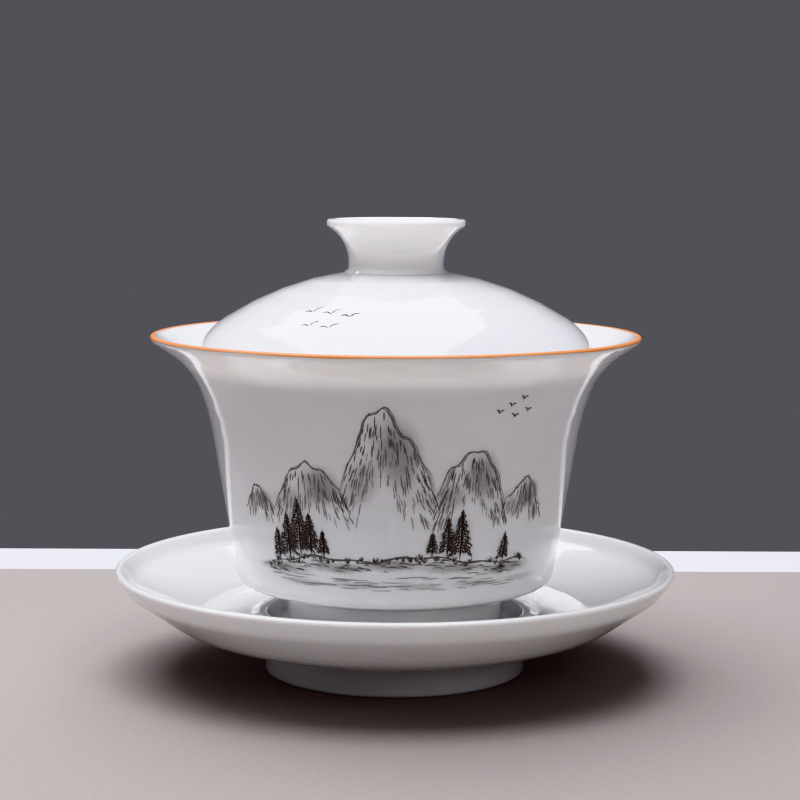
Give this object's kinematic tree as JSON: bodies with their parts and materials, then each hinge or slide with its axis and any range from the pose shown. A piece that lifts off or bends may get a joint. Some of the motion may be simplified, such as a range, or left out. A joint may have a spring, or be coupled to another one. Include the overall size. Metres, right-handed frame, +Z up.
{
  "type": "lidded tea bowl with saucer",
  "caption": "Lidded porcelain tea bowl on a saucer: flared bowl with a coloured lip line, domed lid with a hollow ring knob, dish with a well for the bowl's foot; lid and bowl lift off.",
  "frame": {"origin": "centre of the saucer's foot ring, on the surface that the set stands on", "axes": "+Z up, along the common turning axis of saucer, bowl and lid; the decorated front of the bowl faces -Y, with +X to the viewer's right"},
  "size_m": [0.115, 0.115, 0.093],
  "materials": {
    "white_glaze": "clear gloss glaze over white porcelain, bare biscuit where a foot ring stands",
    "orange_enamel": "thin orange enamel line fired over the glaze, slightly uneven edge",
    "ink_decoration": "dark brown-black ceramic ink drawing with grey washes, under a thin gloss"
  },
  "bodies": {
    "saucer": {"saucer": "white_glaze", "saucer_foot": "white_glaze"},
    "bowl": {"bowl": "white_glaze", "bowl_foot": "white_glaze", "bowl_rim_band": "orange_enamel"},
    "lid": {"lid_dome": "white_glaze", "lid_knob": "white_glaze"}
  },
  "joints": [
    {"name": "bowl_lift", "type": "slide", "parent": "saucer", "child": "bowl", "axis": [0, 0, 1], "range_m": [0, 0.05]},
    {"name": "lid_lift", "type": "slide", "parent": "bowl", "child": "lid", "axis": [0, 0, 1], "range_m": [0, 0.06]}
  ]
}
